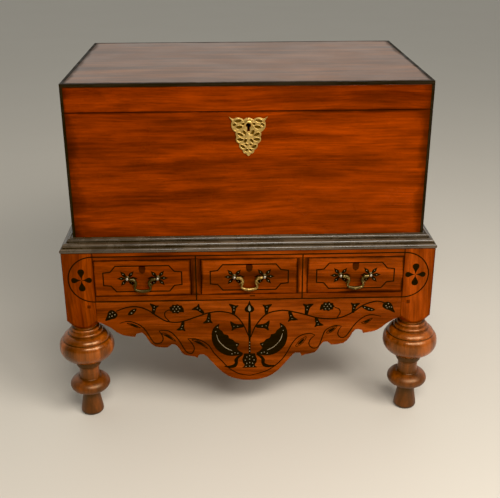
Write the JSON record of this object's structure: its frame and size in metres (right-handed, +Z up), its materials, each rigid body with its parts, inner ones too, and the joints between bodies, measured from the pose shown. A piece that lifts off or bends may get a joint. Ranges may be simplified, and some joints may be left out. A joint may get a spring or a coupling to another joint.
{
  "type": "chest on stand",
  "caption": "Wooden marriage chest with a hinged lid, lock and pierced brass plate, lifting off a turned stand with a row of drawers and a shaped apron.",
  "frame": {"origin": "on the floor under the middle of the stand", "axes": "+X to the right of someone facing the front, +Y towards the back, +Z up"},
  "size_m": [1.0376, 0.7126, 0.9299],
  "materials": {
    "chest_wood": "polished red-brown hardwood",
    "stand_wood": "polished orange-red hardwood",
    "leg_wood": "polished dark brown hardwood",
    "inner_wood": "plain planed softwood",
    "ebony": "polished black wood",
    "brass": "cast and worn",
    "iron": "dark forged"
  },
  "bodies": {
    "stand": {"leg_front_left": "leg_wood", "leg_front_right": "leg_wood", "leg_back_left": "leg_wood", "leg_back_right": "leg_wood", "apron_front": "stand_wood", "rail_top": "stand_wood", "rail_drawer": "stand_wood", "partition_left": "stand_wood", "partition_right": "stand_wood", "side_left": "stand_wood", "side_right": "stand_wood", "stand_back": "stand_wood", "dust_board": "inner_wood", "stand_top": "inner_wood", "guide_left": "inner_wood", "guide_right": "inner_wood", "moulding_front": "ebony", "moulding_left": "ebony", "moulding_right": "ebony"},
    "chest": {"chest_front": "chest_wood", "chest_back": "chest_wood", "chest_left": "chest_wood", "chest_right": "chest_wood", "chest_bottom": "chest_wood", "corner_strip_left": "ebony", "corner_strip_right": "ebony", "lock_case": "iron", "escutcheon": "brass", "hinge_leaf_left": "brass", "hinge_leaf_right": "brass", "hinge_pin_left": "brass", "hinge_pin_right": "brass"},
    "lid": {"lid_top": "chest_wood", "lid_front": "chest_wood", "lid_back": "chest_wood", "lid_left": "chest_wood", "lid_right": "chest_wood", "lid_edging": "ebony", "lid_leaf_left": "brass", "lid_leaf_right": "brass", "lock_link": "iron"},
    "lock_bolt": {"lock_bolt": "iron"},
    "drawer_left": {"drawer_left_front": "stand_wood", "drawer_left_box": "inner_wood", "drawer_left_bottom": "inner_wood", "handle_left_post_a": "brass", "handle_left_post_b": "brass"},
    "drawer_middle": {"drawer_middle_front": "stand_wood", "drawer_middle_box": "inner_wood", "drawer_middle_bottom": "inner_wood", "handle_middle_post_a": "brass", "handle_middle_post_b": "brass"},
    "drawer_right": {"drawer_right_front": "stand_wood", "drawer_right_box": "inner_wood", "drawer_right_bottom": "inner_wood", "handle_right_post_a": "brass", "handle_right_post_b": "brass"},
    "bail_left": {"handle_left_bail": "brass"},
    "bail_middle": {"handle_middle_bail": "brass"},
    "bail_right": {"handle_right_bail": "brass"}
  },
  "joints": [
    {"name": "chest_lift", "type": "slide", "parent": "stand", "child": "chest", "axis": [0, 0, 1], "range_m": [0, 0.1]},
    {"name": "lid_hinge", "type": "hinge", "parent": "chest", "child": "lid", "pos_m": [0, 0.3145, 0.8594], "axis": [-1, 0, 0], "range_deg": [0, 95]},
    {"name": "lock_bolt_slide", "type": "slide", "parent": "chest", "child": "lock_bolt", "axis": [1, 0, 0], "range_m": [0, 0.014]},
    {"name": "drawer_left_slide", "type": "slide", "parent": "stand", "child": "drawer_left", "axis": [0, -1, 0], "range_m": [0, 0.4]},
    {"name": "drawer_middle_slide", "type": "slide", "parent": "stand", "child": "drawer_middle", "axis": [0, -1, 0], "range_m": [0, 0.4]},
    {"name": "drawer_right_slide", "type": "slide", "parent": "stand", "child": "drawer_right", "axis": [0, -1, 0], "range_m": [0, 0.4]},
    {"name": "bail_left_swing", "type": "hinge", "parent": "drawer_left", "child": "bail_left", "pos_m": [-0.2785, -0.3303, 0.4295], "axis": [-1, 0, 0], "range_deg": [-5, 150]},
    {"name": "bail_middle_swing", "type": "hinge", "parent": "drawer_middle", "child": "bail_middle", "pos_m": [0, -0.3303, 0.4295], "axis": [-1, 0, 0], "range_deg": [-5, 150]},
    {"name": "bail_right_swing", "type": "hinge", "parent": "drawer_right", "child": "bail_right", "pos_m": [0.2785, -0.3303, 0.4295], "axis": [-1, 0, 0], "range_deg": [-5, 150]}
  ]
}
